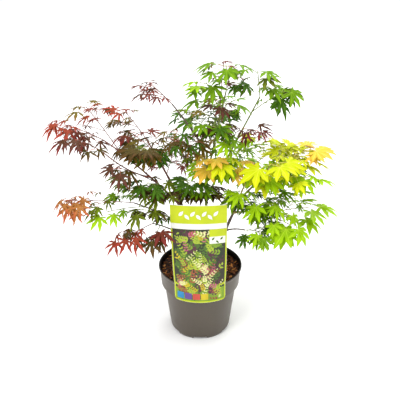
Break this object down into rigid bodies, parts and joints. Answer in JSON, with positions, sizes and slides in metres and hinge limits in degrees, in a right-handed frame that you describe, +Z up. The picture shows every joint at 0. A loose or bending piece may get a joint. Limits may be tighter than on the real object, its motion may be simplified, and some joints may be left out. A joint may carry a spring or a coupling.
{
  "type": "potted japanese maple",
  "caption": "Young Japanese maple with red, green and yellow leaf masses on slim stems, in a taupe nursery pot with a plant label.",
  "frame": {"origin": "centre of the pot's flat underside, on the pot's axis", "axes": "+Z up the pot's axis to the crown; +X to the yellow side of the crown; the label is on the -Y side"},
  "size_m": [0.6338, 0.3897, 0.6466],
  "materials": {
    "pot_plastic": "taupe moulded polypropylene, slightly worn",
    "bark_mulch": "moist composted bark with lighter chips",
    "label_card": null,
    "bark_red": "young bark, red-brown, faint lengthways lines",
    "bark_green": "young green bark, smooth",
    "bark_dark": "older grey-brown bark, finely ridged",
    "foliage_red": "thin leaves, red, purple-brown and bronze",
    "foliage_green": "thin leaves, dark to lime green",
    "foliage_yellow": "thin leaves, yellow, lime and peach"
  },
  "bodies": {
    "root": {"pot": "pot_plastic", "growing_mix": "bark_mulch", "label": "label_card", "stem_red": "bark_dark", "stem_green": "bark_green", "stem_yellow": "bark_dark", "bough_left": "bark_red", "bough_left_high": "bark_red", "bough_left_low": "bark_red", "bough_bronze": "bark_red", "bough_top_left": "bark_dark", "bough_top": "bark_green", "bough_top_right": "bark_green", "bough_yellow": "bark_green", "bough_right": "bark_green", "bough_low_right": "bark_dark", "bough_low_left": "bark_dark", "bough_drop": "bark_dark", "bough_back_left": "bark_red", "bough_back": "bark_green", "bough_back_right": "bark_green", "leaves_red_tip": "foliage_red", "leaves_red_low": "foliage_red", "leaves_red_top": "foliage_red", "leaves_red_hang": "foliage_red", "leaves_bronze": "foliage_red", "leaves_olive": "foliage_green", "leaves_dark_left": "foliage_green", "leaves_top_left": "foliage_red", "leaves_top_red": "foliage_red", "leaves_mid_left": "foliage_red", "leaves_green_top": "foliage_green", "leaves_lime_top": "foliage_green", "leaves_right_top": "foliage_green", "leaves_right_droop": "foliage_green", "leaves_right_red": "foliage_red", "leaves_mid_top": "foliage_green", "leaves_mid_high": "foliage_green", "leaves_yellow_tip": "foliage_yellow", "leaves_yellow_out": "foliage_yellow", "leaves_yellow_mid": "foliage_yellow", "leaves_peach": "foliage_yellow", "leaves_right_low": "foliage_yellow", "leaves_right_down": "foliage_yellow", "leaves_right_mid": "foliage_green", "leaves_low_right": "foliage_green", "leaves_low_tip": "foliage_red", "leaves_low_mid": "foliage_green", "leaves_low_green": "foliage_green", "leaves_low_in": "foliage_green", "leaves_drop_left": "foliage_red", "leaves_drop_mid": "foliage_green", "leaves_mid_dark": "foliage_green", "leaves_mid_right": "foliage_green", "leaves_back_red": "foliage_red", "leaves_back_dark": "foliage_red", "leaves_back_green": "foliage_green", "leaves_back_high": "foliage_green", "leaves_back_yellow": "foliage_yellow", "leaves_back_low": "foliage_green"}
  },
  "joints": []
}
